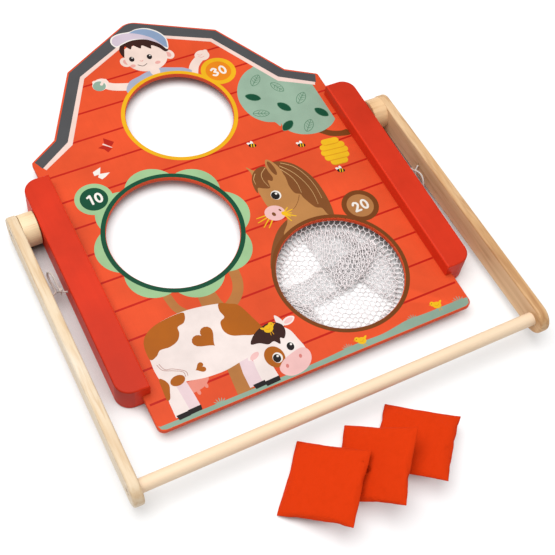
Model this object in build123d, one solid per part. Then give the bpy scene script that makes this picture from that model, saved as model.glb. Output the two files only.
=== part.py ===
from build123d import *
from math import cos, pi, radians, sin, tan
import os

# Barn-shaped bean-bag target board with a folding stand, lying folded with its three bags in front.
# X to the right, Y up the board towards the roof, Z up from the surface it lies on.
# The origin is at the middle of the footprint, on that surface. All sizes are in millimetres.

# ---- driving dimensions ----
PANEL_W = 375.0          # width across the straight sides
PANEL_T = 6.0            # board thickness
PANEL_Z = 13.0           # height of the board's back face
PANEL_FOOT_Y = -180.0    # bottom edge
EAVE_Y = 189.0           # height where the straight sides end
FLARE = (152.0, 211.5)   # kink above the eave
KNEE = (100.0, 305.5)    # kink between the steep and the shallow roof
APEX_Y = 359.0           # where the two shallow roof lines meet, before rounding
APEX_R = 22.0
ROOF_R = 4.0
FOOT_R = 8.0
ARRIS = 1.0              # rounding of the board's edges
OVERCUT = 1.0            # how far cutting shapes run past a face
SCREW_TIP_R = 0.4
SLOT_W = 0.9             # arms of a screw's cross-shaped drive slot
SLOT_DEPTH = 1.2

HOLES = {                # score: (x, y, diameter)
    "30": (0.0, 192.5, 130.0),
    "10": (-76.0, 39.0, 150.0),
    "20": (72.5, -83.5, 145.0),
}

RAIL_IN = 178.5          # inner face of each rail
RAIL_W = 33.0
RAIL_H = 36.0
RAIL_Y = (-135.5, 154.5)
RAIL_CORNER_R = 17.0
RAIL_ARRIS = 2.0
GROOVE_PLAY = 0.1        # around the board's edge in the rail's groove

PIVOT_Y = 102.5
PIVOT_Z = 19.5
ARM_LENGTH = 330.0       # pivot axis to crossbar axis
ARM_W = 35.0
ARM_T = 12.0
ARM_IN = 229.8           # inner face of each arm
ARM_HEAD = 3.0           # the arm's round head is centred this far past the pivot
ARM_ARRIS = 2.5
ARM_LIFT = 2.25          # degrees that the folded stand is raised from parallel
CROSSBAR_D = 15.0
SOCKET_DEPTH = 8.0

BOSS_D = 38.0
WASHER_T = 0.8
WASHER_D = 18.0
BOSS_PLAY = 0.1
BOSS_ARRIS = 1.0
BOLT_D = 6.0
BOLT_HEAD_D = 12.0
BOLT_HEAD_H = 3.2
BOLT_RUNNING = 0.15      # radial clearance of arm and boss on the bolt
BOLT_END_GAP = 1.0       # from the bolt's end to the insert's
HEAD_SUNK = 0.5          # all screw and bolt heads lie this far below the wood's surface
BOLT_KEY = 4.0
BOLT_KEY_DEPTH = 2.0
INSERT_D = 9.0
INSERT_L = 13.0

DOWEL_SCREW_D = 4.0
DOWEL_SCREW_L = 32.0
DOWEL_SCREW_HEAD_D = 8.0
DOWEL_SCREW_HEAD_H = 2.4
DOWEL_SCREW_TIP = 3.0
DOWEL_SLOT = 4.4

RAIL_SCREW_D = 3.5
RAIL_SCREW_HEAD_D = 7.0
RAIL_SCREW_HEAD_H = 2.0
RAIL_SCREW_TIP = 1.5
RAIL_SLOT = 4.0
RAIL_SCREW_TIP_Z = 16.5
RAIL_SCREW_X = 183.0
RAIL_SCREW_YS = (-110.0, 9.5, 129.0)

CORD_D = 2.2
CORD_HOLE_D = 2.8
CORD_HOLE_DEPTH = 9.0
CORD_Y = 10.5             # the cord's holes in rail and arm
CORD_Z = 19.0
CORD_BEND = 0.45          # share of each leg of the route that its bends may use
KNOT_R = 3.1

NET_HEM_IN = 74.0        # radii of the tape round the net's mouth
NET_HEM_OUT = 84.0
NET_HEM_T = 1.0
NET_FLOOR_Z = 0.4        # the crumpled net just clears the surface below
NET_FLOOR_T = 1.5
NET_BASE_R = 66.0
NET_BASE_WALL = 2.0
NET_RIM_R = 82.0
NET_RIM_WALL = 4.0
STAPLES = 16
STAPLE_WIRE = 0.9
STAPLE_CROWN = 10.0
STAPLE_LEG = 4.5

BAG_SIDE = 82.0
BAG_T = 16.0
BAG_SEAM_T = 2.8
BAG_FLAT = 46.0          # side of the nearly flat middle of each face
BAG_CLOTH = 0.8
FILL_GAP = 0.3
BAGS = {                 # centre, turn about Z, tilt, and the side that rises, in the bag's own plane
    "front": ((-62.5, -295.7, 21.9), -42.5, 24.5, 11.0),
    "middle": ((-9.6, -300.8, 27.8), -39.4, 31.3, 12.0),
    "rear": ((44.9, -294.0, 17.2), -42.4, 15.7, -31.0),
}

RAIL_OUT = RAIL_IN + RAIL_W
ARM_OUT = ARM_IN + ARM_T
SIDES = {"left": -1, "right": 1}

# The cords' routes from inside the rail to the arm's inner face. The left cord loops up the board,
# and the right one down it.
CORD_ROUTES = {
    "left": [
        (-204.0, 10.5, 19.0), (-214.4, 10.5, 19.0), (-218.9, 14.2, 21.6), (-219.8, 20.6, 25.6),
        (-219.9, 27.0, 29.0), (-221.2, 33.4, 29.8), (-223.2, 38.2, 26.2), (-224.2, 38.6, 20.0),
        (-223.8, 34.0, 15.8), (-222.8, 27.2, 14.8), (-222.4, 20.2, 16.4), (-223.0, 14.2, 20.0),
        (-228.9, 9.9, 22.9),
    ],
    "right": [
        (204.0, 10.5, 19.0), (214.4, 10.5, 19.0), (219.0, 7.6, 22.0), (220.8, 1.8, 26.0),
        (222.4, -5.6, 27.8), (221.8, -12.8, 25.6), (220.8, -17.2, 20.0), (221.0, -16.6, 13.4),
        (221.8, -11.0, 10.0), (222.0, -4.0, 10.8), (222.4, 2.4, 14.6), (224.2, 7.6, 19.4),
        (228.9, 9.9, 22.9),
    ],
}
KNOT_AT = {"left": (-218.4, 13.8, 21.4), "right": (218.5, 7.9, 21.8)}


# ---- helpers ----
def bar(radius, low, high, y, z):
    """A round bar along X."""
    spot = Plane(origin=(low, y, z), x_dir=(0, 1, 0), z_dir=(1, 0, 0))
    return spot * extrude(Circle(radius), high - low)


def cone_bar(radius_low, radius_high, low, high, y, z):
    """A tapered round bar along X."""
    spot = Plane(origin=((low + high) / 2, y, z), x_dir=(0, 1, 0), z_dir=(1, 0, 0))
    return spot * Cone(radius_low, radius_high, high - low)


def mirrored(shape, side):
    """The right-hand shape itself, or its mirror image for the left."""
    return shape if side > 0 else mirror(shape, about=Plane.YZ)


def tilted_stand(shape):
    """The stand's pieces are drawn parallel to the board, then raised about the pivot."""
    return shape.rotate(Axis((0, PIVOT_Y, PIVOT_Z), (1, 0, 0)), -ARM_LIFT)


# ---- board ----
def barn_outline():
    half = PANEL_W / 2
    right = [(half, PANEL_FOOT_Y), (half, EAVE_Y), FLARE, KNEE]
    left = [(-x, y) for x, y in reversed(right)]
    face = make_face(Polyline(*right, (0, APEX_Y), *left, close=True))
    for corner in face.vertices():
        if corner.Y > APEX_Y - 1:
            face = fillet(corner, APEX_R)
    feet = [v for v in face.vertices() if v.Y < PANEL_FOOT_Y + 1]
    face = fillet(feet, FOOT_R)
    kinks = [v for v in face.vertices() if FLARE[1] - 1 < v.Y < KNEE[1] + 1]
    kinks += [v for v in face.vertices() if abs(v.Y - EAVE_Y) < 1]
    return fillet(kinks, ROOF_R)


def barn_panel():
    face = barn_outline()
    for x, y, diameter in HOLES.values():
        face -= Pos(x, y) * Circle(diameter / 2)
    panel = Pos(0, 0, PANEL_Z) * extrude(face, PANEL_T)
    rims = panel.edges().filter_by(lambda e: abs(e.center().Z - (PANEL_Z + PANEL_T / 2)) > PANEL_T / 2 - 0.01)
    panel = fillet(rims, ARRIS)
    return panel - rail_screw_blanks() - net_staples()


# ---- rails ----
def rail(side):
    length = RAIL_Y[1] - RAIL_Y[0]
    blank = Pos(RAIL_IN + RAIL_W / 2, (RAIL_Y[0] + RAIL_Y[1]) / 2) * Rectangle(RAIL_W, length)
    outer = [v for v in blank.vertices() if v.X > RAIL_OUT - 1]
    body = extrude(fillet(outer, RAIL_CORNER_R), RAIL_H)
    outline = body.edges().filter_by(lambda e: abs(e.center().Z - RAIL_H / 2) > RAIL_H / 2 - 0.01)
    body = fillet(outline, RAIL_ARRIS)
    groove_w = 2 * (PANEL_W / 2 + GROOVE_PLAY)
    groove = Box(groove_w, 2 * RAIL_Y[1] + length, PANEL_T + 2 * GROOVE_PLAY)
    body -= Pos(0, 0, PANEL_Z + PANEL_T / 2) * groove
    body -= bar(INSERT_D / 2, RAIL_OUT - INSERT_L, RAIL_OUT + OVERCUT, PIVOT_Y, PIVOT_Z)
    body -= bar(CORD_HOLE_D / 2, RAIL_OUT - CORD_HOLE_DEPTH, RAIL_OUT + OVERCUT, CORD_Y, CORD_Z)
    for y in RAIL_SCREW_YS:
        body -= rail_screw(RAIL_SCREW_X, y)
    return mirrored(body, side)


def rail_screw(x, y):
    """A countersunk screw from the rail's underside, through its lip and into the board."""
    radius = RAIL_SCREW_D / 2
    head = Cone(RAIL_SCREW_HEAD_D / 2, radius, RAIL_SCREW_HEAD_H)
    shank_low = HEAD_SUNK + RAIL_SCREW_HEAD_H
    shank_top = RAIL_SCREW_TIP_Z - RAIL_SCREW_TIP
    shank = Cylinder(radius, shank_top - shank_low)
    tip = Cone(radius, SCREW_TIP_R, RAIL_SCREW_TIP)
    screw = Pos(0, 0, HEAD_SUNK + RAIL_SCREW_HEAD_H / 2) * head
    screw += Pos(0, 0, (shank_low + shank_top) / 2) * shank
    screw += Pos(0, 0, RAIL_SCREW_TIP_Z - RAIL_SCREW_TIP / 2) * tip
    return Pos(x, y) * screw


def rail_screw_blanks():
    return [rail_screw(side * RAIL_SCREW_X, y) for side in SIDES.values() for y in RAIL_SCREW_YS]


def cross_slot(x, y, z):
    """A drive recess seen from below."""
    blade = Box(RAIL_SLOT, SLOT_W, 2 * SLOT_DEPTH)
    return Pos(x, y, z) * (blade + Rot(0, 0, 90) * blade)


def rail_screws():
    return [
        rail_screw(side * RAIL_SCREW_X, y) - cross_slot(side * RAIL_SCREW_X, y, HEAD_SUNK)
        for side in SIDES.values()
        for y in RAIL_SCREW_YS
    ]


# ---- pivots ----
def pivot_insert(side):
    shell = bar(INSERT_D / 2, RAIL_OUT - INSERT_L, RAIL_OUT, PIVOT_Y, PIVOT_Z)
    shell -= bar(BOLT_D / 2, RAIL_OUT - INSERT_L, RAIL_OUT, PIVOT_Y, PIVOT_Z)
    return mirrored(shell, side)


def pivot_washer(side):
    disc = bar(WASHER_D / 2, RAIL_OUT, RAIL_OUT + WASHER_T, PIVOT_Y, PIVOT_Z)
    disc -= bar(BOLT_D / 2 + BOLT_RUNNING, RAIL_OUT, RAIL_OUT + WASHER_T, PIVOT_Y, PIVOT_Z)
    return mirrored(disc, side)


def pivot_bolt(side):
    top = ARM_OUT - HEAD_SUNK
    shank = bar(BOLT_D / 2, RAIL_OUT - INSERT_L + BOLT_END_GAP, top - BOLT_HEAD_H, PIVOT_Y, PIVOT_Z)
    head = cone_bar(BOLT_D / 2, BOLT_HEAD_D / 2, top - BOLT_HEAD_H, top, PIVOT_Y, PIVOT_Z)
    key = Plane(origin=(top - BOLT_KEY_DEPTH, PIVOT_Y, PIVOT_Z), x_dir=(0, 1, 0), z_dir=(1, 0, 0))
    hexagon = RegularPolygon(BOLT_KEY / 2, 6, major_radius=False)
    recess = key * extrude(hexagon, BOLT_KEY_DEPTH + OVERCUT)
    return mirrored(shank + head - recess, side)


def boss(side):
    low = RAIL_OUT + WASHER_T + BOSS_PLAY
    disc = bar(BOSS_D / 2, low, ARM_IN, PIVOT_Y, PIVOT_Z)
    rims = disc.edges().filter_by(lambda e: e.center().X < (low + ARM_IN) / 2)
    rims = rims.filter_by(GeomType.CIRCLE)
    disc = fillet(rims, BOSS_ARRIS)
    disc -= bar(BOLT_D / 2 + BOLT_RUNNING, low - OVERCUT, ARM_IN + OVERCUT, PIVOT_Y, PIVOT_Z)
    return mirrored(disc, side)


# ---- stand ----
def arm(side):
    foot_y = PIVOT_Y - ARM_LENGTH
    head_y = PIVOT_Y + ARM_HEAD
    spot = Plane(origin=(ARM_IN, (foot_y + head_y) / 2, PIVOT_Z), x_dir=(0, 1, 0), z_dir=(1, 0, 0))
    blade = spot * extrude(SlotCenterToCenter(head_y - foot_y, ARM_W), ARM_T)
    outline = blade.edges().filter_by(lambda e: abs(e.center().X - (ARM_IN + ARM_OUT) / 2) > ARM_T / 2 - 0.01)
    blade = fillet(outline, ARM_ARRIS)
    blade -= bar(BOLT_D / 2 + BOLT_RUNNING, ARM_IN - OVERCUT, ARM_OUT + OVERCUT, PIVOT_Y, PIVOT_Z)
    top = ARM_OUT - HEAD_SUNK
    sink_r = BOLT_HEAD_D / 2 + BOLT_RUNNING
    blade -= cone_bar(BOLT_D / 2 + BOLT_RUNNING, sink_r, top - BOLT_HEAD_H, top, PIVOT_Y, PIVOT_Z)
    blade -= bar(sink_r, top, ARM_OUT + OVERCUT, PIVOT_Y, PIVOT_Z)
    blade -= bar(CROSSBAR_D / 2, ARM_IN - OVERCUT, ARM_IN + SOCKET_DEPTH, foot_y, PIVOT_Z)
    blade -= dowel_screw(foot_y)
    blade -= bar(DOWEL_SCREW_HEAD_D / 2, top, ARM_OUT + OVERCUT, foot_y, PIVOT_Z)
    blade -= bar(CORD_HOLE_D / 2, ARM_IN - OVERCUT, ARM_IN + CORD_HOLE_DEPTH, CORD_Y, PIVOT_Z)
    return tilted_stand(mirrored(blade, side))


def dowel_screw(y):
    """A countersunk screw from the arm's outer face into the dowel's end."""
    top = ARM_OUT - HEAD_SUNK
    head_low = top - DOWEL_SCREW_HEAD_H
    tip_low = ARM_OUT - DOWEL_SCREW_L
    tip_high = tip_low + DOWEL_SCREW_TIP
    shank = bar(DOWEL_SCREW_D / 2, tip_high, head_low, y, PIVOT_Z)
    head = cone_bar(DOWEL_SCREW_D / 2, DOWEL_SCREW_HEAD_D / 2, head_low, top, y, PIVOT_Z)
    tip = cone_bar(SCREW_TIP_R, DOWEL_SCREW_D / 2, tip_low, tip_high, y, PIVOT_Z)
    return shank + head + tip


def crossbar_screw(side):
    y = PIVOT_Y - ARM_LENGTH
    blade = Pos(ARM_OUT - HEAD_SUNK, y, PIVOT_Z) * Box(2 * SLOT_DEPTH, DOWEL_SLOT, SLOT_W)
    slots = blade + blade.rotate(Axis((0, y, PIVOT_Z), (1, 0, 0)), 90)
    return tilted_stand(mirrored(dowel_screw(y) - slots, side))


def crossbar():
    y = PIVOT_Y - ARM_LENGTH
    end = ARM_IN + SOCKET_DEPTH
    dowel = bar(CROSSBAR_D / 2, -end, end, y, PIVOT_Z)
    dowel -= dowel_screw(y)
    dowel -= mirror(dowel_screw(y), about=Plane.YZ)
    return tilted_stand(dowel)


# ---- net pocket ----
def at_net(shape):
    x, y, _ = HOLES["20"]
    return Pos(x, y) * shape


def net_hem():
    ring = Circle(NET_HEM_OUT) - Circle(NET_HEM_IN)
    return at_net(Pos(0, 0, PANEL_Z - NET_HEM_T) * extrude(ring, NET_HEM_T)) - net_staples()


def net_bag():
    """The crumpled net as a shallow dish, open at the hole above it."""
    top = PANEL_Z - NET_HEM_T
    height = top - NET_FLOOR_Z
    outer = Pos(0, 0, NET_FLOOR_Z + height / 2) * Cone(NET_BASE_R, NET_RIM_R, height)
    inner_z = NET_FLOOR_Z + NET_FLOOR_T
    inner = Cone(NET_BASE_R - NET_BASE_WALL, NET_RIM_R - NET_RIM_WALL, top - inner_z)
    inner = Pos(0, 0, (inner_z + top) / 2) * inner
    return at_net(outer - inner) - net_staples()


def net_staples():
    """Wire staples through the hem into the board's back, in a ring."""
    crown_z = PANEL_Z - NET_HEM_T - STAPLE_WIRE / 2
    staples = []
    for i in range(STAPLES):
        crown = Box(STAPLE_WIRE, STAPLE_CROWN, STAPLE_WIRE)
        leg_h = STAPLE_LEG + NET_HEM_T
        leg = Box(STAPLE_WIRE, STAPLE_WIRE, leg_h)
        reach = (STAPLE_CROWN - STAPLE_WIRE) / 2
        rise = STAPLE_WIRE / 2 + leg_h / 2
        staple = crown + Pos(0, reach, rise) * leg + Pos(0, -reach, rise) * leg
        radius = (NET_HEM_IN + NET_HEM_OUT) / 2
        staples.append(at_net(Rot(0, 0, 360 / STAPLES * (i + 0.5)) * Pos(radius, 0, crown_z) * staple))
    return staples


# ---- tie cords ----
def cord_radii(points):
    radii = []
    for before, here, after in zip(points, points[1:], points[2:]):
        run_in = Vector(*here) - Vector(*before)
        run_out = Vector(*after) - Vector(*here)
        turn = radians(run_in.get_angle(run_out))
        radii.append(CORD_BEND * min(run_in.length, run_out.length) / tan(turn / 2))
    return radii


def tie_cord(name):
    points = CORD_ROUTES[name]
    radii = cord_radii(points)
    path = FilletPolyline(*points, radius=radii)
    start = Plane(origin=points[0], z_dir=Vector(*points[1]) - Vector(*points[0]))
    tube = sweep(start * Circle(CORD_D / 2), path=path)
    ideal = pi * (CORD_D / 2) ** 2 * path.length
    print(name, "cord radii", [round(r, 1) for r in radii], "length", round(path.length, 1),
          "volume", round(tube.volume, 1), "of", round(ideal, 1))
    return tube


def tie_knot(name):
    return Pos(*KNOT_AT[name]) * Sphere(KNOT_R)


# ---- bean bags ----
def pillow(inset):
    """A square bag with a thin seam band and faces that bulge to a nearly flat middle."""
    side = BAG_SIDE - 2 * inset
    flat = BAG_FLAT - 2 * inset
    seam = BAG_SEAM_T / 2 - min(inset, 1.0)
    crown = BAG_T / 2 - inset
    band = Box(side, side, 2 * seam)
    dome = loft([Plane.XY.offset(seam) * Rectangle(side, side), Plane.XY.offset(crown) * Rectangle(flat, flat)])
    return band + dome + mirror(dome, about=Plane.XY)


def placed_bag(shape, name):
    centre, turn, tilt, rise = BAGS[name]
    lean = Axis((0, 0, 0), (cos(radians(rise + 90)), sin(radians(rise + 90)), 0))
    return Pos(*centre) * Rot(0, 0, turn) * shape.rotate(lean, -tilt)


def bag_cover(name):
    return placed_bag(pillow(0) - pillow(BAG_CLOTH), name)


def bag_fill(name):
    return placed_bag(pillow(BAG_CLOTH + FILL_GAP), name)


# ---- assembly ----
def pieces():
    made = {"barn_panel": barn_panel(), "crossbar": crossbar()}
    for name, side in SIDES.items():
        made["rail_" + name] = rail(side)
        made["arm_" + name] = arm(side)
        made["boss_" + name] = boss(side)
        made["tie_cord_" + name] = tie_cord(name)
        made["tie_knot_" + name] = tie_knot(name)
    made["pivot_bolts"] = [pivot_bolt(side) for side in SIDES.values()]
    made["pivot_inserts"] = [pivot_insert(side) for side in SIDES.values()]
    made["pivot_washers"] = [pivot_washer(side) for side in SIDES.values()]
    made["crossbar_screws"] = [crossbar_screw(side) for side in SIDES.values()]
    made["rail_screws"] = rail_screws()
    made["net_hem"] = net_hem()
    made["net_bag"] = net_bag()
    made["net_staples"] = net_staples()
    for name in BAGS:
        made["bean_bag_" + name] = bag_cover(name)
        made["bean_fill_" + name] = bag_fill(name)
    return made


def main():
    os.makedirs("parts", exist_ok=True)
    for name, shape in pieces().items():
        solids = shape if isinstance(shape, list) else shape.solids()
        whole = Compound(children=list(solids)) if len(solids) > 1 else solids[0]
        whole.label = name
        export_step(whole, f"parts/{name}.step")


main()
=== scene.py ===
"""Looks for a barn-shaped bean-bag target board with a folding stand, a net pocket and three bags."""
import itertools
import math
import random

import bmesh
import bpy
import numpy as np
from mathutils import Matrix, Vector, noise
from mathutils.bvhtree import BVHTree
from mathutils.geometry import delaunay_2d_cdt


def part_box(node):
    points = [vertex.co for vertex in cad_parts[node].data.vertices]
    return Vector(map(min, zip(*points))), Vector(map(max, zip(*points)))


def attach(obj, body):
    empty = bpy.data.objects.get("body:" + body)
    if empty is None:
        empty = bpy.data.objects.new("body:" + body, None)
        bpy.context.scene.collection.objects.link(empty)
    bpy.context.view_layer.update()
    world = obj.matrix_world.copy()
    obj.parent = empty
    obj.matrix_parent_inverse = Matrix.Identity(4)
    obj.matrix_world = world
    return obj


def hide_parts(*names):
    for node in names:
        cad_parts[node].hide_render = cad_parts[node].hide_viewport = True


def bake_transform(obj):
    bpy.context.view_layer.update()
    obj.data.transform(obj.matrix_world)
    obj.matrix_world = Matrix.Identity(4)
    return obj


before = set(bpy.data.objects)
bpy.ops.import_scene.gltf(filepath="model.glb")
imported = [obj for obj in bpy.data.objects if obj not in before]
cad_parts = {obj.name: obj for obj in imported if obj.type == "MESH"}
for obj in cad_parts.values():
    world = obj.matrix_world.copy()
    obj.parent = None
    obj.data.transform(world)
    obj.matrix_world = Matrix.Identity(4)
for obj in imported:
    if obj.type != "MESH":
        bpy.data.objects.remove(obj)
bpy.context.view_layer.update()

MM = 0.001


def box_mm(node):
    """The low and high corners of one of the frame's pieces, in millimetres."""
    return [Vector(v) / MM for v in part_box(node)]


PANEL_HIGH = box_mm("barn_panel")[1]
RAIL_LOW, RAIL_HIGH = box_mm("rail_right")
HOLES = {"30": (0.0, 192.5, 65.0), "10": (-76.0, 39.0, 75.0), "20": (72.5, -83.5, 72.5)}     # x, y and radius

LIT = 0.64               # a level surface's own reflectance, as a share of how bright the lights make it look


def linear(r, g, b):
    """The linear colour for a shader whose level surface is to look like this display colour, 0 to 255."""
    def channel(c):
        c /= 255
        return LIT * (c / 12.92 if c <= 0.04045 else ((c + 0.055) / 1.055) ** 2.4)
    return (channel(r), channel(g), channel(b), 1.0)


# ---- material building ----
class Nodes:
    """Short names for building one material's nodes."""

    def __init__(self, name):
        self.material = bpy.data.materials.new(name)
        self.material.use_nodes = True
        self.tree = self.material.node_tree
        self.shader = self.tree.nodes["Principled BSDF"]
        self.coord = self.tree.nodes.new("ShaderNodeTexCoord")

    def put(self, value, socket):
        if isinstance(value, bpy.types.NodeSocket):
            self.tree.links.new(value, socket)
        else:
            socket.default_value = value

    def node(self, kind, settings=(), **inputs):
        made = self.tree.nodes.new(kind)
        for key, value in dict(settings).items():
            setattr(made, key, value)
        for key, value in inputs.items():
            self.put(value, made.inputs[key.replace("_", " ")])
        return made

    def scaled(self, scale=(1, 1, 1), source="Object"):
        return self.node("ShaderNodeMapping", Vector=self.coord.outputs[source], Scale=scale).outputs[0]

    def noise(self, scale, detail=3.0, rough=0.55, warp=0.0, over=None):
        """Noise over a vector, or else over the piece's own coordinates."""
        vector = self.scaled() if over is None else over
        made = self.node("ShaderNodeTexNoise", Vector=vector, Scale=scale, Detail=detail, Roughness=rough,
                         Distortion=warp)
        return made.outputs["Fac"]

    def ramp(self, fac, stops):
        made = self.node("ShaderNodeValToRGB", Fac=fac)
        elements = made.color_ramp.elements
        while len(elements) < len(stops):
            elements.new(0.5)
        for element, (place, colour) in zip(elements, stops):
            element.position = place
            element.color = colour
        return made.outputs["Color"]

    def grey(self, fac, low, high, at=(0.0, 1.0)):
        made = self.node("ShaderNodeMapRange", Value=fac)
        for key, value in zip(("From Min", "From Max", "To Min", "To Max"), (*at, low, high)):
            made.inputs[key].default_value = value
        return made.outputs[0]

    def math(self, kind, a, b=0.0):
        made = self.node("ShaderNodeMath", {"operation": kind})
        self.put(a, made.inputs[0])
        self.put(b, made.inputs[1])
        return made.outputs[0]

    def mix(self, fac, a, b):
        made = self.node("ShaderNodeMix", {"data_type": "RGBA"})
        for value, socket in ((fac, 0), (a, 6), (b, 7)):
            self.put(value, made.inputs[socket])
        return made.outputs[2]

    def blotch(self, tone, other, fac, amount, at):
        """The tone, mixed with another by up to amount where fac is high."""
        return self.mix(self.grey(fac, 0.0, amount, at), tone, other)

    def painted_edge_highlight(self, tone, paler, amount):
        """The tone with a painted highlight: paler where the surface is convex, along its edges."""
        rim = self.node("ShaderNodeNewGeometry").outputs["Pointiness"]
        return self.blotch(tone, paler, rim, amount, (0.52, 0.58))

    def board_grain(self):
        """Fine wood grain along the board, which shows through paint and ink."""
        return self.noise(3.2, 5, warp=0.6, over=self.scaled((90, 5, 90)))

    def bump(self, height, strength, distance, below=None):
        made = self.node("ShaderNodeBump", Height=height, Strength=strength, Distance=distance * MM)
        if below is not None:
            self.put(below, made.inputs["Normal"])
        return made.outputs[0]

    def finish(self, **inputs):
        for key, value in inputs.items():
            self.put(value, self.shader.inputs[key.replace("_", " ")])
        return self.material


def shades(colour, *factors):
    """A colour's darker and lighter neighbours."""
    return [(*[min(1.0, c * k) for c in colour[:3]], 1.0) for k in factors]


def satin_paint(name, colour, rough, edge):
    """Sprayed satin paint over sanded wood: faint grain, soft mottling and a painted highlight that makes the
    convex edges paler.
    """
    n = Nodes(name)
    dark, light = shades(colour, 0.86, 1.1)
    cloud = n.noise(14, 4)
    tone = n.ramp(cloud, [(0.3, dark), (0.7, light)])
    grain = n.board_grain()
    tone = n.blotch(tone, dark, grain, 0.22, (0.45, 0.75))
    # painted highlight: the convex edges are made paler
    tone = n.painted_edge_highlight(tone, *shades(colour, 1.6), edge)
    normal = n.bump(n.noise(620, 2), 0.07, 0.15, n.bump(grain, 0.14, 0.4))
    gloss = n.grey(cloud, rough - 0.05, rough + 0.09)
    return n.finish(Base_Color=tone, Roughness=gloss, Normal=normal, Specular_IOR_Level=0.09)


def ink(name, colour):
    """Flat printed ink over the paint, with the paint's texture and a slightly uneven film."""
    n = Nodes(name)
    dark, light = shades(colour, 0.9, 1.06)
    cloud = n.noise(30, 4)
    tone = n.ramp(cloud, [(0.3, dark), (0.7, light)])
    tone = n.blotch(tone, dark, n.noise(1500, 1), 0.16, (0.5, 0.8))
    return n.finish(Base_Color=tone, Roughness=n.grey(cloud, 0.46, 0.58), Specular_IOR_Level=0.14,
                    Normal=n.bump(n.board_grain(), 0.1, 0.3))


# Woods, each in a light, a middle and a deep tone.
PALE_WOOD = (linear(255, 238, 212), linear(249, 224, 188), linear(228, 188, 140))
WARM_WOOD = (linear(248, 208, 160), linear(234, 184, 128), linear(188, 130, 78))
TAN_WOOD = (linear(255, 228, 186), linear(249, 214, 168), linear(214, 168, 112))
PEACH_WOOD = (linear(255, 230, 198), linear(253, 216, 176), linear(234, 188, 142))


def bare_wood(name, along, shade):
    """Sanded hardwood. Its grain runs along the given axis, with fine pores and soft figure."""
    n = Nodes(name)
    light, mid, deep = shade
    stretch = [1.0 if axis == along else 14.0 for axis in "xyz"]
    fine = [2.5 if axis == along else 130.0 for axis in "xyz"]
    figure = n.noise(4.5, 4, 0.5, 1.2, n.scaled(stretch))
    rings = n.noise(6.5, 3, 0.6, 0.5, n.scaled([c * 3 for c in stretch]))
    pores = n.noise(8, 3, 0.7, over=n.scaled(fine))
    tone = n.ramp(figure, [(0.28, light), (0.52, mid), (0.78, deep)])
    tone = n.blotch(tone, deep, rings, 0.6, (0.48, 0.68))
    tone = n.blotch(tone, deep, pores, 0.35, (0.58, 0.75))
    # painted highlight: the wood's convex edges are made paler
    tone = n.painted_edge_highlight(tone, *shades(light, 1.2), 0.7)
    return n.finish(Base_Color=tone, Roughness=n.grey(rings, 0.42, 0.56), Specular_IOR_Level=0.35,
                    Normal=n.bump(rings, 0.08, 0.4, n.bump(pores, 0.22, 0.25)))


def metal(name, colour, rough):
    """Turned metal with fine tool marks and a slightly uneven plating."""
    n = Nodes(name)
    dark, light = shades(colour, 0.8, 1.1)
    marks = n.noise(3, 3, over=n.scaled((60, 900, 900)))
    tone = n.ramp(n.noise(260, 3), [(0.35, dark), (0.7, light)])
    return n.finish(Base_Color=tone, Metallic=1.0, Roughness=n.grey(marks, rough, rough + 0.14),
                    Normal=n.bump(marks, 0.12, 0.1))


def nylon(name):
    """Slightly cloudy moulded washer plastic."""
    n = Nodes(name)
    cloud = n.noise(300, 3)
    tone = n.ramp(cloud, [(0.3, linear(222, 220, 208)), (0.7, linear(240, 238, 228))])
    return n.finish(Base_Color=tone, Roughness=n.grey(cloud, 0.35, 0.5), Normal=n.bump(cloud, 0.1, 0.1))


CANVAS_PITCH = 0.62      # between the threads of the bags' cloth
TAPE_PITCH = 0.8


def weave(n, vector, pitch):
    """Plain weave: warp and weft that pass over and under each other, pitch apart. 0 is low, 1 is high."""
    parts = n.node("ShaderNodeSeparateXYZ", Vector=vector)
    warp, weft = [n.math("SINE", n.math("MULTIPLY", parts.outputs[k], math.pi / pitch)) for k in (0, 1)]
    over = n.math("GREATER_THAN", n.math("MULTIPLY", warp, weft))
    kept = n.math("MULTIPLY", n.math("ABSOLUTE", warp), over)
    other = n.math("MULTIPLY", n.math("ABSOLUTE", weft), n.math("SUBTRACT", 1.0, over))
    return n.math("ADD", kept, other)


def bag_cloth(name, colour):
    """Cotton canvas: a plain weave with slubs, a soft nap at grazing angles and small shade changes."""
    n = Nodes(name)
    dark, light = shades(colour, 0.78, 1.08)
    wobble = n.noise(160, 3)
    threads = weave(n, n.scaled(source="UV"), CANVAS_PITCH * MM / BAG_SPAN)
    slubs = n.math("MAXIMUM", *[n.noise(3, 4, over=n.scaled(s, "UV")) for s in ((6, 130, 1), (130, 6, 1))])
    # painted shade: the weave's low parts, between the threads, are darker
    tone = n.ramp(n.grey(threads, 0.0, 1.0), [(0.0, dark), (0.6, light)])
    tone = n.blotch(tone, light, slubs, 0.3, (0.6, 0.8))
    tone = n.blotch(tone, dark, wobble, 0.25, (0.5, 0.8))
    return n.finish(Base_Color=tone, Roughness=n.grey(wobble, 0.8, 0.95),
                    Normal=n.bump(slubs, 0.3, 0.2, n.bump(threads, 0.5, 0.16)), Sheen_Weight=0.15,
                    Sheen_Roughness=0.5, Sheen_Tint=light, Specular_IOR_Level=0.1)


def thread(name, colour, twist):
    """Twisted or braided yarn: a fine diagonal rib."""
    n = Nodes(name)
    dark, light = shades(colour, 0.8, 1.04)
    rib = n.node("ShaderNodeTexWave", {"bands_direction": "DIAGONAL"}, Vector=n.scaled(), Scale=twist,
                 Distortion=2.0, Detail=2.0).outputs["Fac"]
    fuzz = n.noise(2200, 2)
    # painted shade: the grooves of the twist, where the rib is low, are darker
    tone = n.ramp(rib, [(0.1, dark), (0.6, light)])
    tone = n.blotch(tone, dark, fuzz, 0.3, (0.5, 0.8))
    return n.finish(Base_Color=tone, Roughness=n.grey(fuzz, 0.6, 0.8), Normal=n.bump(rib, 0.5, 0.2),
                    Sheen_Weight=0.2, Sheen_Roughness=0.4)


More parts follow.
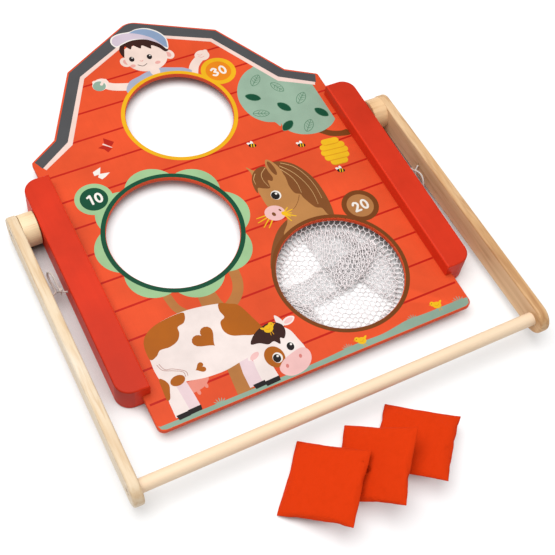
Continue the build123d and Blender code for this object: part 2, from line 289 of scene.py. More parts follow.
def tape_cloth(name):
    """Woven cotton tape."""
    n = Nodes(name)
    threads = weave(n, n.scaled(), TAPE_PITCH * MM)
    # painted shade: the weave's low parts, between the threads, are darker
    tone = n.ramp(threads, [(0.0, linear(196, 190, 178)), (0.8, linear(236, 232, 222))])
    return n.finish(Base_Color=tone, Roughness=n.grey(threads, 0.75, 0.9), Normal=n.bump(threads, 0.5, 0.2))


def wear(node, material):
    """Gives a CAD node its material."""
    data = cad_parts[node].data
    data.materials.clear()
    data.materials.append(material)


def put_out(name, data):
    """A new object in the scene."""
    made = bpy.data.objects.new(name, data)
    bpy.context.collection.objects.link(made)
    return made


def new_piece(name, verts, faces, materials):
    """A mesh piece, given in millimetres."""
    data = bpy.data.meshes.new(name)
    data.from_pydata([tuple(c * MM for c in v) for v in verts], [], faces)
    data.update()
    for material in materials:
        data.materials.append(material)
    return put_out(name, data)


# ---- outlines for the printed picture ----
# The picture is drawn in millimetres from its own zero line, which is this far up the board.
PICTURE_Y = 34.5
INK_GAP = 0.06           # the print's height above the board's face, inside the rails' grooves' play


def turned(points, x, y, turn):
    """Points drawn round zero, turned and moved to x and y."""
    c, s = math.cos(math.radians(turn)), math.sin(math.radians(turn))
    return [(x + px * c - py * s, y + px * s + py * c) for px, py in points]


def ellipse(x, y, rx, ry=None, turn=0.0, start=0.0, end=360.0, steps=None):
    """An ellipse or an arc of one. A bigger one gets more points."""
    ry = rx if ry is None else ry
    steps = steps or max(12, int(10 + 6.6 * math.sqrt(max(rx, ry))))
    angles = [math.radians(start + (end - start) * i / steps) for i in range(steps + (end - start < 360))]
    return turned([(rx * math.cos(a), ry * math.sin(a)) for a in angles], x, y, turn)


def curve_through(points, closed, steps=6):
    """A Catmull-Rom curve through the points."""
    count = len(points)
    out = []
    for i in range(count if closed else count - 1):
        near = [i + k if not closed else (i + k) % count for k in (-1, 0, 1, 2)]
        a, b, c, d = (Vector(points[min(max(k, 0), count - 1)]) for k in near)
        for t in (j / steps for j in range(steps)):
            out.append(0.5 * ((2 * b) + (c - a) * t + (2 * a - 5 * b + 4 * c - d) * t ** 2
                              + (3 * b - a - 3 * c + d) * t ** 3))
    if not closed:
        out.append(Vector(points[-1]))
    return [tuple(p) for p in out]


def anticlockwise(outline):
    area = sum(a[0] * b[1] - b[0] * a[1] for a, b in zip(outline, outline[1:] + outline[:1]))
    return outline if area > 0 else outline[::-1]


def capsule(a, b, ra, rb):
    """Two round ends joined by straight sides."""
    (ax, ay), (bx, by) = a, b
    heading = math.degrees(math.atan2(by - ay, bx - ax))
    ends = ellipse(bx, by, rb, None, heading, -90, 90, 6)
    return ends + ellipse(ax, ay, ra, None, heading, 90, 270, 6)


def leaf_shape(x, y, length, width, turn):
    """A pointed oval."""
    side = [(length / 2 * math.cos(math.pi * t / 8), width / 2 * math.sin(math.pi * t / 8) ** 1.3)
            for t in range(9)]
    return turned(side + [(px, -py) for px, py in reversed(side[1:-1])], x, y, turn)


def heart(x, y, size, turn):
    """A plump heart."""
    ways = [2 * math.pi * i / 28 for i in range(28)]
    high = [13 * math.cos(t) - 5 * math.cos(2 * t) - 2 * math.cos(3 * t) - math.cos(4 * t) for t in ways]
    return turned([(size * math.sin(t) ** 3, size / 16 * h) for t, h in zip(ways, high)], x, y, turn)


class Picture:
    """Overlapping printed shapes, later ones on top, made into one flat mesh with no overlaps."""

    def __init__(self):
        self.shapes = []

    def fill(self, colour, *outlines):
        for outline in outlines:
            self.shapes.append((colour, anticlockwise(outline)))

    def blob(self, colour, *points):
        """A rounded shape through the points."""
        self.fill(colour, curve_through(points, True))

    def oval(self, colour, *form):
        self.fill(colour, ellipse(*form))

    def line(self, colour, width, points, thin=1.0, smooth=True):
        """A drawn stroke with round ends, which may thin towards its end."""
        path = curve_through(points, False, 5) if smooth and len(points) > 2 else points
        last = len(path) - 1
        for i, (a, b) in enumerate(zip(path, path[1:])):
            radii = [width / 2 * (1 + (thin - 1) * k / last) for k in (i, i + 1)]
            self.fill(colour, capsule(a, b, *radii))

    def build(self, name, inks, cut_outs):
        self.fill(None, *cut_outs)
        verts, faces = [], []
        for _, outline in self.shapes:
            faces.append(list(range(len(verts), len(verts) + len(outline))))
            verts.extend(Vector((x, y + PICTURE_Y)) for x, y in outline)
        flat, _, triangles, _, _, owners = delaunay_2d_cdt(verts, [], faces, 1, 1e-4, True)
        order = list(inks)
        kept, colours = [], []
        for triangle, owner in zip(triangles, owners):
            colour = self.shapes[max(owner)][0] if owner else None
            if colour is not None:
                kept.append(triangle)
                colours.append(order.index(colour))
        z = PANEL_HIGH.z + INK_GAP
        piece = new_piece(name, [(v.x, v.y, z) for v in flat], kept, inks.values())
        piece.data.shade_flat()
        piece.data.polygons.foreach_set("material_index", colours)
        mesh = bmesh.new()
        mesh.from_mesh(piece.data)
        bmesh.ops.delete(mesh, geom=[v for v in mesh.verts if not v.link_faces], context="VERTS")
        for face in mesh.faces:
            if face.normal.z < 0:
                face.normal_flip()
        mesh.to_mesh(piece.data)
        mesh.free()
        return piece


INKS = {
    "plank": (205, 24, 0), "roof": (84, 84, 86), "trim": (255, 224, 212), "yellow": (250, 187, 16),
    "orange": (246, 142, 12), "green": (0, 80, 52), "petal": (166, 206, 152), "brown": (126, 66, 14),
    "tan": (190, 128, 72), "white": (255, 248, 240), "sage": (160, 188, 165), "leaf_line": (98, 140, 112),
    "trunk": (192, 124, 62), "skin": (255, 229, 216), "blush": (244, 178, 168), "udder": (242, 148, 130),
    "nostril": (226, 134, 126), "hair": (58, 22, 14), "cap": (146, 168, 200), "brim": (216, 200, 214),
    "shirt": (178, 183, 205), "ink": (28, 18, 18), "horse": (196, 136, 76), "mane": (134, 78, 32),
    "strand": (226, 180, 122), "cream": (255, 239, 233), "tail": (196, 150, 140), "shade": (245, 218, 222),
    "patch": (184, 98, 0), "muzzle": (252, 200, 196), "hive": (252, 196, 24), "hive_line": (232, 162, 14),
    "chick": (252, 196, 12), "moth": (196, 30, 5), "grass": (150, 178, 158),
}


DIGIT_TALL = 14.5
DIGIT_WIDTH = 2.7
BADGE_RIM = 22.0
BADGE_CORE = 16.0


def digit(art, character, x, y):
    """One rounded white numeral, centred on x and y."""
    h = DIGIT_TALL / 2 - DIGIT_WIDTH / 2
    w = DIGIT_TALL * 0.2
    round_zero = [(1.15 * math.cos(i * math.pi / 8), math.sin(i * math.pi / 8)) for i in range(17)]
    strokes = {
        "0": [round_zero],
        "1": [[(-0.2 * h / w, 0.72), (0.35 * h / w, 1), (0.35 * h / w, -1)]],
        "2": [[(-1, 0.55), (-0.3, 1), (0.8, 0.75), (0.8, 0.1), (-1, -1)], [(-1, -1), (1.2, -1)]],
        "3": [[(-1, 0.7), (0, 1), (1, 0.55), (-0.1, 0.05)],
              [(-0.1, 0.05), (1.1, -0.45), (0, -1), (-1.1, -0.7)]],
    }
    for stroke in strokes[character]:
        points = [(x + px * w, y + py * h) for px, py in stroke]
        art.line("white", DIGIT_WIDTH, points, smooth=character in "23")


def score(art, text, x, y, outer, inner):
    """A round badge with its number."""
    art.oval(outer, x, y, BADGE_RIM)
    art.oval(inner, x, y, BADGE_CORE)
    digit(art, text[0], x - 5.2, y)
    digit(art, text[1], x + 5.6, y)


PLANK_WIDTH = 38.5
# Height up the roof, and how far out the printed planks may go there.
ROOF_EDGE = [(136.0, 400.0), (137.0, 176.0), (161.0, 137.0), (253.0, 87.0), (297.0, 4.0)]


def draw_planks(art):
    """Dark lines between the painted planks."""
    for k in range(12):
        y = PLANK_WIDTH * k - 182.0
        beside_rails = RAIL_LOW.y <= y + PICTURE_Y <= RAIL_HIGH.y
        half = RAIL_LOW.x - 0.3 if beside_rails else PANEL_HIGH.x - 3.0
        half = min(half, np.interp(y, *zip(*ROOF_EDGE)))
        low = y + random.uniform(-0.15, 0.15)
        art.fill("plank", [(-half, low - 1.2), (half, y - 1.2), (half, y + 1.2), (-half, low + 1.2)])


def draw_roof(art):
    """The roof's dark band and its pale trim, which follow the board's outline."""
    outer = [(184.0, 154.0), (150.5, 174.7), (98.6, 268.6)]
    inner = [(178.6, 142.2), (138.5, 168.0), (88.4, 258.0), (0.0, 302.0)]
    trim = [(175.4, 138.6), (135.0, 162.0), (84.9, 253.4), (0.0, 297.0)]
    peak = ellipse(0, 301.8, 18, 18, 0, 55, 125, 8)
    for colour, line in (("trim", trim), ("roof", inner)):
        edge = outer + peak + [(-x, y) for x, y in reversed(outer)]
        back = [(-x, y) for x, y in line] + [(x, y) for x, y in reversed(line[:3])]
        art.fill(colour, edge + back)


def draw_tree(art):
    """Foliage on the right, with solid and outlined leaves, and its branch."""
    art.blob("brown", (140, 73), (150, 72), (160, 65), (170, 61), (178, 60), (178, 51.5), (166, 53.5),
             (155, 58), (147, 65))
    art.blob("sage", (128, 190), (112, 193), (97, 186), (84, 172), (76.5, 155), (75.5, 138), (80, 121),
             (90, 109), (101, 103.5), (108, 101))
    rim = [(100, 112), (107, 101), (107.5, 92), (113, 82), (123, 74), (136, 69.5), (150, 69), (164, 73.5),
           (172.5, 80)]
    art.fill("sage", curve_through(rim, False) + [(172.5, 140), (150, 160), (120, 190), (100, 180)])
    for x, y, turn in ((94, 149, -36), (123, 121, -58), (113.5, 92.5, 30), (162, 96, -58)):
        art.fill("leaf_line", leaf_shape(x, y, 20.5, 11.5, turn))
        art.fill("green", leaf_shape(x, y, 19, 10, turn))
    for x, y, turn in ((109, 173, 43), (129.5, 153, -64), (92, 122, -20), (149, 126, 42), (137.5, 83, 48)):
        art.fill("leaf_line", leaf_shape(x, y, 21, 11.5, turn))
        art.fill("sage", leaf_shape(x, y, 19, 9.8, turn))
        art.line("leaf_line", 0.8, turned([(-10, 0), (9, 0)], x, y, turn))
        for along in (-4.5, -0.5, 3.5):
            for side in (-3.4, 3.4):
                art.line("leaf_line", 0.7, turned([(along, 0), (along + 3.2, side)], x, y, turn))


BEE_TURN = -20.0


def draw_bee(art, x, y):
    for wing, tilt in (((-3.8, 2.6), 155), ((-0.6, 4.0), 110)):
        art.oval("white", *turned([wing], x, y, BEE_TURN)[0], 3.0, 1.7, BEE_TURN + tilt)
    art.oval("ink", x, y, 4.8, 3.0, BEE_TURN)
    for along in (-1.2, 1.8):
        art.line("chick", 1.4, turned([(along, -2.0), (along, 2.0)], x, y, BEE_TURN))


def draw_moths(art):
    """Two moths beside the roof, with angular wings."""
    for colour, *wing in (
        ("moth", (-98.6, 158.2), (-88.8, 148.2), (-93.6, 143.4), (-100.9, 148.2)),
        ("moth", (-109.4, 146.4), (-104.6, 147.6), (-99.6, 147.6), (-94.2, 140.2), (-100.9, 136.0),
         (-103.4, 141.8)),
        ("white", (-117.4, 119.2), (-128.2, 115.6), (-128.4, 109.9), (-121.6, 109.9)),
        ("white", (-122.4, 110.6), (-110.2, 108.2), (-117.2, 103.9), (-122.0, 102.2), (-125.2, 106.6)),
    ):
        art.fill(colour, wing)
    art.line("trim", 2.2, [(-101.8, 149.4), (-94.2, 141.2)], 0.4)


def draw_hive(art):
    """A straw hive made of plump rings."""
    for level, half in ((-15.4, 11.0), (-7.8, 15.8), (0.0, 17.4), (7.8, 16.0), (15.4, 11.4)):
        for colour, fat, lift in (("hive_line", 4.9, -0.6), ("hive", 4.3, 0.1)):
            ends = turned([(fat - half, level + lift), (half - fat, level + lift)], 147.9, 36.2, -6)
            art.line(colour, 2 * fat, ends)


def draw_eye(art, x, y, rx, ry, turn=0.0, rim=0.0):
    if rim:
        art.oval("white", x + 0.9, y + 0.4, rx + rim, ry + rim, turn)
    art.oval("ink", x, y, rx, ry, turn)
    art.oval("white", x + 0.4 * rx, y + 0.42 * ry, 0.3 * rx)


def draw_child(art):
    """A plain cartoon child behind the top hole, arms raised."""
    left, right = (-1, (-36, 220), (-57, 228), (-69, 238)), (1, (42, 212), (50, 225), (65, 236))
    for side, shoulder, elbow, hand in (left, right):
        art.line("skin", 12.5, [shoulder, elbow, hand], 0.85)
        art.oval("skin", *hand, 9.5, 8.6)
        art.oval("skin", hand[0] + side * 5.5, hand[1] + 4.0, 4.4, 3.4, side * 40)
    art.blob("shirt", (-43, 211), (-37, 227.5), (-22, 232.5), (-8, 236), (8, 236), (22, 231), (37, 224),
             (40, 214), (0, 205))
    art.line("blush", 0.8, [(60, 240), (63, 237), (66, 238)])
    art.line("blush", 0.8, [(60, 236), (63, 233), (67, 234)])
    art.oval("white", -72, 236, 8.6)
    art.oval("grass", -72.4, 235.4, 7.9)
    art.line("skin", 3.6, [(-62, 242), (-66, 240), (-69, 237)])
    art.line("skin", 12, [(0, 240), (0, 232)])
    for x, y in ((-28, 260), (27, 253)):
        art.oval("skin", x, y, 6.6, 8.2, 10)
        art.oval("blush", x + (0.6 if x < 0 else -0.4), y, 3.2, 4.6, 10)
    art.fill("skin", ellipse(-1, 259, 26.5, 24.0, -12), ellipse(-14, 270, 12, 13))
    art.blob("hair", (-27, 268), (-28, 281), (-20, 291), (-4, 294), (12, 290), (24, 278), (30, 262),
             (25, 259), (20, 268), (13, 275), (10, 270), (2, 279), (-2, 275), (-9, 283), (-14, 278),
             (-19, 285), (-23, 276))
    art.blob("white", (-33, 296), (-29, 305), (-18, 308), (-4, 306.5), (6, 308), (19, 304.5), (30, 294),
             (35, 281), (33, 268), (28.5, 262), (23, 275), (10, 287), (-6, 291.5), (-20, 289.5), (-29, 287))
    art.blob("cap", (-12, 301), (-4, 305), (6, 306.6), (18, 303), (28.5, 293), (33.5, 281), (32, 270),
             (29, 265), (20, 282), (4, 295))
    art.blob("brim", (-31.5, 296), (-27, 304), (-17, 306.5), (-4, 304), (9, 296), (20, 284), (27.5, 266),
             (21, 277), (8, 288.5), (-7, 293), (-20, 291), (-28, 289))
    draw_eye(art, -19, 262, 3.3, 4.3, -8)
    draw_eye(art, 3, 258, 3.3, 4.3, -8)
    art.line("blush", 1.1, [(-10.5, 256), (-8.6, 254.3), (-6.8, 255.6)])
    art.line("ink", 0.9, [(-15.5, 250.5), (-10.5, 246.6), (-4.5, 248.4)])
    for x, y in ((-22, 251), (9, 245.5)):
        art.oval("blush", x, y, 3.6, 2.6)


def draw_horse(art):
    """A horse's head and neck above the net's hole."""
    art.blob("mane", (52, -33), (38, -37), (24, -49), (10, -68), (2, -88), (20, -90), (40, -60))
    art.blob("horse", (38, 54.5), (40, 44), (37, 28), (36, 10), (36.5, -6), (40, -20), (50, -27), (47, -36),
             (36, -52), (60, -62), (112, -62), (102, -46), (90, -22), (80, 12), (75, 40), (62, 44), (50, 44),
             (44, 47))
    art.blob("mane", (68, 49), (80, 47), (92, 38), (100.5, 24), (105.5, 8), (107, -10), (106, -30),
             (102, -47), (96, -43), (94, -33), (87, -28), (81, -12), (80, -5.5), (74.5, -1), (73, 10),
             (75, 26), (71, 40))
    art.blob("horse", (60.5, 32), (60.5, 46), (64.5, 55.5), (70, 51), (74.5, 39), (74, 26), (66, 24))
    art.oval("mane", 66.2, 41.5, 3.1, 11, 3)
    art.blob("mane", (59, 47), (50, 48), (41, 42), (35.5, 32), (33.8, 20), (35, 15), (38, 21.5), (44, 18.5),
             (51.5, 16.5), (53.5, 27), (58, 24.5), (61, 29), (60, 38))
    for points in (
        ((79, 44.5), (91, 34), (98.5, 17), (101.5, -2), (100.5, -20)),
        ((76, 41), (86, 27), (92.5, 9), (94.5, -9), (92.5, -26)),
        ((75, 36), (81.5, 22), (83.5, 9), (82, -4)),
        ((44, 41.5), (39, 35), (38, 27)), ((59, 45), (50.5, 38), (48.8, 28), (51, 18.5)),
    ):
        art.line("strand", 0.8, points, 0.5)
    art.line("mane", 0.8, [(78, -6), (72, -14), (64, -20.5), (58, -22)], 0.5)
    draw_eye(art, 52, 4, 5.0, 5.6, 0, 1.1)
    for straw in (
        ((30, -17), (17.5, -17)), ((30, -20), (16.5, -23)), ((31, -22), (20, -31)), ((34, -25), (25, -34)),
    ):
        art.line("chick", 1.7, straw, 0.6)
    art.oval("muzzle", 40.5, -18, 12.2, 10.6, -24)
    art.oval("mane", 38.5, -19, 2.1, 2.9, 12)
    art.oval("mane", 47.5, -16.5, 1.1, 2.1, 20)
    for b in ((57, -16.5), (61, -21), (58, -25), (61, -31), (53, -35), (54.5, -29)):
        art.line("chick", 1.9, ((48.5, -22.5), b), 0.6)
    art.oval("chick", 49.5, -22.5, 2.6, 3.2, 20)


def draw_chick(art, x, y, size, facing=1):
    """A chick that faces right, or left with facing -1."""
    def at(*points):
        return [(x + facing * size * px, y + size * py) for px, py in points]

    for foot in (-0.8, 2.4):
        hip = max(0.0, foot - 0.4)
        art.line("hive_line", 0.9 * size, [(x + hip * size, y - 4 * size), (x + foot * size, y - 8.5 * size)])
    art.oval("chick", x, y, 5.8 * size, 4.8 * size, 10 * facing)
    art.oval("chick", *at((4.8, 3.6))[0], 3.4 * size)
    art.fill("chick", leaf_shape(*at((-5.6, 2.4))[0], 7 * size, 3 * size, -35 * facing))
    art.fill("orange", leaf_shape(*at((8.6, 3.4))[0], 3.2 * size, 1.6 * size, 0))
    art.fill("ink", ellipse(*at((5.6, 4.2))[0], 0.6 * size, steps=8))
    art.line("hive_line", 0.7 * size, at((-3, 0.8), (0, -1.2), (2.2, 0.4)))


def draw_legs(art):
    legs = (("shade", -157, -137.5, -168), ("shade", -83, -65, -165), ("cream", -166, -149.5, -160),
            ("cream", -68, -49.5, -160))
    for colour, left, right, top in legs:
        art.fill(colour, [(left, -206), (right, -206), (right - 1, -188), (right - 3, top), (left + 4, top),
                          (left + 0.5, -188)])
    hooves = (-152, -137, -208.5), (-79, -65, -210), (-165, -150, -209.5), (-67, -49, -211.5)
    for left, right, low in hooves:
        art.fill("ink", [(left, low + 5.8), (right, low + 6.2), (right - 0.8, low + 0.6), (left + 1.4, low)])


def draw_cow(art):
    """A grazing cow at the lower left, a chick on its head."""
    art.blob("udder", (-146, -174), (-148, -182), (-141, -187), (-132, -187), (-123, -184), (-118, -176))
    for x, y in ((-144, -187), (-133, -189), (-123, -185)):
        art.oval("udder", x, y, 1.9, 3.0)
    draw_legs(art)
    art.blob("cream", (-164, -134), (-163, -116), (-155, -104.5), (-138, -97.5), (-112, -95), (-88, -97.5),
             (-66, -103), (-52, -112.5), (-45.5, -130), (-41, -150), (-47, -166), (-62, -172), (-78, -174.5),
             (-98, -177.5), (-120, -176.5), (-142, -172), (-150, -172), (-162, -166), (-165, -150))
    art.blob("patch", (-164, -134.5), (-163, -116), (-155, -104.5), (-138, -97.5), (-112, -95.5),
             (-109.5, -101), (-114, -108), (-122, -110.5), (-123.5, -118), (-129, -125.5), (-139, -129),
             (-150, -128.5), (-156, -133.5))
    art.blob("patch", (-70, -101.4), (-60, -105.8), (-51, -112), (-44.5, -130), (-40.4, -148), (-52, -151),
             (-62, -147.5), (-74, -142.5), (-79.5, -134), (-78, -123), (-71.5, -119), (-73, -110))
    art.fill("patch", heart(-101.5, -134, 13.6, 26))
    art.fill("patch", heart(-119.8, -164, 6.0, 277))
    art.oval("patch", -147.5, -168, 8.2, 5.8, 8)
    art.blob("patch", (-164.5, -159), (-160, -162), (-157.5, -169), (-160, -177), (-163, -184),
             (-166.5, -184), (-166, -172))
    for shift in (0.0, 2.4):
        art.line("tail", 0.7, [(-160 + shift, -143), (-157 + shift, -151), (-147, -156 + shift),
                               (-138.5 + shift, -161), (-138 + shift, -167)])
    art.blob("cream", (-71, -177), (-66, -170), (-57, -168.5), (-54, -172), (-60, -177.5))
    art.fill("muzzle", leaf_shape(-62.5, -174.5, 13, 6.6, 24))
    art.blob("cream", (-22, -139), (-18, -143), (-16, -151), (-20, -156), (-23.5, -150))
    art.fill("cream", leaf_shape(-10.5, -150.5, 17, 9, 14))
    art.fill("muzzle", leaf_shape(-10, -150.5, 12, 5.6, 14))
    art.blob("cream", (-56, -162), (-56, -178), (-50, -192), (-38, -200), (-20, -200), (-9, -190),
             (-11, -174), (-15, -160), (-26, -152), (-44, -153))
    art.oval("patch", -43.5, -184, 10.8, 13, 4)
    art.blob("hair", (-60, -160.5), (-53, -152), (-41, -146), (-28, -145), (-19, -152), (-19, -161),
             (-24, -168), (-28, -166), (-31, -172.5), (-36, -167), (-43, -168), (-51, -163))
    art.blob("muzzle", (-45, -199), (-37, -191.5), (-24, -187), (-12, -185.5), (-6.5, -192), (-9, -202),
             (-19, -210), (-34, -212), (-43, -207))
    for x, y in ((-36, -199), (-18, -194)):
        art.oval("nostril", x, y, 1.7, 2.4, -20)
    draw_eye(art, -42, -186.5, 4.3, 5.0, -10, 1.2)
    draw_eye(art, -22.5, -179.5, 4.1, 4.9, -10, 0.6)
    draw_chick(art, -34.5, -151, 0.95)


def draw_ground(art):
    """The tree trunk behind the cow, and the grass."""
    art.line("trunk", 9.5, [(-117, -72), (-114, -88), (-106, -100)])
    art.line("trunk", 12, [(-37, -66), (-39, -84), (-47, -99), (-62, -110), (-80, -118)])
    art.fill("trunk", [(-87, -80), (-68, -80), (-66, -98), (-60, -120), (-98, -120), (-88, -98)])
    art.fill("trunk", [(-95, -170), (-80, -170), (-80, -208), (-98, -208)])
    top = [(-184, -208), (-50, -208.2), (0, -207.5), (42, -205.5), (74, -206.4), (94, -204.2), (110, -202.3),
           (135, -203.2), (164, -203.2), (186.2, -204)]
    corner = [(186.2, -206.5), (184.3, -211.3), (179.5, -213.3)]
    art.fill("grass", curve_through(top, False) + corner + [(-x, y) for x, y in reversed(corner)])
    for x, base, size in ((-118, -208.5, 0.85), (33, -206.5, 0.8), (115.5, -203.5, 0.8), (175, -204.5, 0.95)):
        for lean, tall in ((-5.6, 3.4), (-2.8, 5.6), (0.3, 6.4), (3.0, 5.2), (5.6, 3.2)):
            blade = [(x + lean * 0.6 * size, base), (x + lean * 1.25 * size, base + tall * size)]
            art.line("grass", 1.8 * size, blade, 0.35)


def print_picture():
    """The whole printed front, from the back of the picture to its front."""
    random.seed(4)
    art = Picture()
    draw_planks(art)
    draw_ground(art)
    draw_tree(art)
    draw_roof(art)
    hole_x, hole_y, _ = HOLES["10"]
    for k in range(8):
        a = math.radians(45 * k)
        art.oval("petal", hole_x + 60 * math.cos(a), hole_y - PICTURE_Y + 60 * math.sin(a), 32)
    draw_child(art)
    draw_hive(art)
    for x, y in ((60, 81), (115, 59), (141, 7)):
        draw_bee(art, x, y)
    draw_moths(art)
    draw_horse(art)
    score(art, "10", -141, 79.5, "petal", "green")
    score(art, "30", 73, 204.5, "yellow", "orange")
    score(art, "20", 137, -47, "brown", "tan")
    for key, colour, rim in (("30", "yellow", 70.4), ("10", "green", 81.0), ("20", "brown", 77.8)):
        x, y, _ = HOLES[key]
        art.fill(colour, ellipse(x, y - PICTURE_Y, rim, steps=96))
    draw_cow(art)
    draw_chick(art, 51, -204.5, 0.88, -1)
    draw_chick(art, 149.7, -199.2, 0.88, -1)
    cut_outs = [ellipse(x, y - PICTURE_Y, r + 0.6, steps=96) for x, y, r in HOLES.values()]
    inks = {key: ink("ink_" + key, linear(*colour)) for key, colour in INKS.items()}
    piece = art.build("printed_picture", inks, cut_outs)
    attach(piece, "board")


# ---- tubes ----
def tube_mesh(paths, radius, sides):
    """Closed round tubes along lists of points."""
    verts, faces = [], []
    for path in paths:
        points = np.array(path, float)
        ahead = np.gradient(points, axis=0)
        ahead /= np.linalg.norm(ahead, axis=1)[:, None] + 1e-12
        side = np.cross(ahead, (0.0, 0.0, 1.0))
        side[np.linalg.norm(side, axis=1) < 1e-3] = (1.0, 0.0, 0.0)
        side /= np.linalg.norm(side, axis=1)[:, None]
        up = np.cross(side, ahead)
        base = len(verts)
        for point, s, u in zip(points, side, up):
            for k in range(sides):
                a = 2 * math.pi * k / sides
                verts.append(point + radius * (math.cos(a) * s + math.sin(a) * u))
        for i in range(len(points) - 1):
            for k in range(sides):
                a, b = base + i * sides + k, base + i * sides + (k + 1) % sides
                faces.append((a, b, b + sides, a + sides))
        faces.append(tuple(base + k for k in reversed(range(sides))))
        end = base + (len(points) - 1) * sides
        faces.append(tuple(end + k for k in range(sides)))
    return verts, faces


# ---- net ----
NET_THREAD_R = 0.42
NET_PITCH = 3.45         # between threads, whose zigzags touch in turn: the cells are twice as wide
NET_CELL = 11.4          # length of one zigzag, which is two rows of cells
NET_HEADING = 63.0       # the threads' direction, in degrees from +X
NET_STEPS = 12           # points of a thread for each zigzag
NET_LAYER = 2.1          # height of one layer of net on the next
NET_LOW = 1.2            # height of the lowest layer
NET_SPAN = 230.0         # half the width of the flat net
NET_SWING = 0.47         # of a thread's zigzag, as a share of the pitch
FULL_PLEAT = 8.0         # a pleat this wide has its full height
FOLD_RISE = 1.6          # a layer reaches its height this far past its fold
FOLD_FALL = 9.0          # and comes down over this length past the pleat's edge
# Each pleat: the direction it is folded in, where its far fold lies, its width, and the middle and
# half length of its stretch along the fold.
PLEATS = [
    (25.0, 70.0, 57.0, 0.0, 150.0),
    (97.0, 22.0, 39.0, 20.0, 75.0),
    (153.0, 78.0, 58.0, 74.0, 46.0),
]
CRUMPLED = (-26.0, -8.0, 30.0)      # the middle and radius of the most crumpled place
NET_SEED = 1794947123    # picks the crumple; unseeded, Blender draws its vector noise anew in each session
WALL_THREADS = 134
WALL_SWING = 0.46
WALL_YARN = 1.55         # gathered threads are this much thicker
# Radius and height of the gathered wall, from the hem down.
WALL = [(75.2, 12.5), (74.8, 10.6), (74.0, 8.2), (72.6, 5.8), (69.8, 3.6), (65.0, 2.2)]


def ease(value):
    value = max(0.0, min(1.0, value))
    return value * value * (3 - 2 * value)


def zigzag(turns):
    """A flat-topped wave, so that threads touch along a short stretch."""
    return max(-1.0, min(1.0, 2.0 * math.cos(2 * math.pi * turns)))


def fold_net(flat):
    """Where a point of the flat net lies once the net is pleated and crumpled inside its ring.

    Nothing is returned for the lowest layer deep under a pleat, where nobody sees it.
    """
    spot = Vector(flat)
    height = NET_LOW
    seen = True
    for heading, far, width, middle, reach in PLEATS:
        across = Vector((math.cos(math.radians(heading)), math.sin(math.radians(heading))))
        along = Vector((-across.y, across.x))
        here = width * math.exp(-abs((spot.dot(along) - middle) / reach) ** 4)
        past = spot.dot(across) - far
        seen = seen and not FULL_PLEAT - here < past < -6
        if past > 0:
            spot -= 2 * min(past, here) * across
            full = min(1.0, here / FULL_PLEAT)
            height += full * NET_LAYER * (ease(past / FOLD_RISE) + ease((past - here) / FOLD_RISE))
            height -= full * NET_LAYER * 2 * ease((past - 2 * here) / FOLD_FALL)
    x, y, reach = CRUMPLED
    rough = 0.7 + 2.4 * math.exp(-((spot.x - x) ** 2 + (spot.y - y) ** 2) / reach ** 2)
    wide = noise.noise_vector(Vector((flat[0], flat[1], 0)) / 24.0)
    fine = noise.noise_vector(Vector((flat[0], flat[1], 50)) / 8.0)
    spot += Vector((4.0 * wide.x + rough * fine.x, 4.0 * wide.y + rough * fine.y))
    height += 1.3 * abs(wide.z) * 2 + 0.9 * rough * abs(fine.z)
    return Vector((spot.x, spot.y, height)) if seen else None


def net_floor_threads():
    """Threads of the pleated net, cut where they pass under the board's edge."""
    _, _, radius = HOLES["20"]
    heading = math.radians(NET_HEADING)
    along = Vector((math.cos(heading), math.sin(heading)))
    across = Vector((-along.y, along.x))
    step = NET_CELL / NET_STEPS
    paths = []
    for k in range(int(-NET_SPAN / NET_PITCH), int(NET_SPAN / NET_PITCH)):
        path = []
        for i in range(int(-NET_SPAN / step), int(NET_SPAN / step)):
            swing = NET_PITCH * NET_SWING * (1 if k % 2 else -1) * zigzag(i / NET_STEPS)
            spot = fold_net(along * i * step + across * (k * NET_PITCH + swing))
            inside = math.hypot(spot.x, spot.y) if spot else radius
            if inside < radius - 5.0:
                spot.z = min(spot.z, 14.0 - 8.0 * ease((inside - 52) / 14))
                path.append(spot)
            elif path:
                paths.append(path)
                path = []
    return [path for path in paths if len(path) > 3]


def net_wall_threads():
    """The net's wall below its hem: two rows of stretched cells."""
    line = curve_through(WALL, False, 4)
    count = len(line) - 1
    paths = []
    for k in range(WALL_THREADS):
        path = []
        for i, (r, z) in enumerate(line):
            swing = WALL_SWING * (1 if k % 2 else -1) * zigzag(1.25 * i / count)
            a = 2 * math.pi * (k + swing) / WALL_THREADS
            sway = noise.noise_vector(Vector((3 * math.cos(a), 3 * math.sin(a), 0.1 * i)))
            drop = ease(i / count * 2)
            path.append(Vector((r * math.cos(a), r * math.sin(a), z))
                        + Vector((drop * 1.5 * sway.x, drop * 1.5 * sway.y, drop * 1.2 * sway.z)))
        paths.append(path)
    return paths


def knotted_net(material):
    noise.seed_set(NET_SEED)
    centre = Vector((*HOLES["20"][:2], 0))
    verts, faces = [], []
    for threads, thick in ((net_floor_threads(), 1.0), (net_wall_threads(), WALL_YARN)):
        paths = [[spot + centre for spot in path] for path in threads]
        more_verts, more_faces = tube_mesh(paths, NET_THREAD_R * thick, 4)
        faces += [tuple(len(verts) + i for i in face) for face in more_faces]
        verts += more_verts
    piece = new_piece("net_pocket", verts, faces, [material])
    piece.data.shade_smooth()
    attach(piece, "board")
    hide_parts("net_bag")


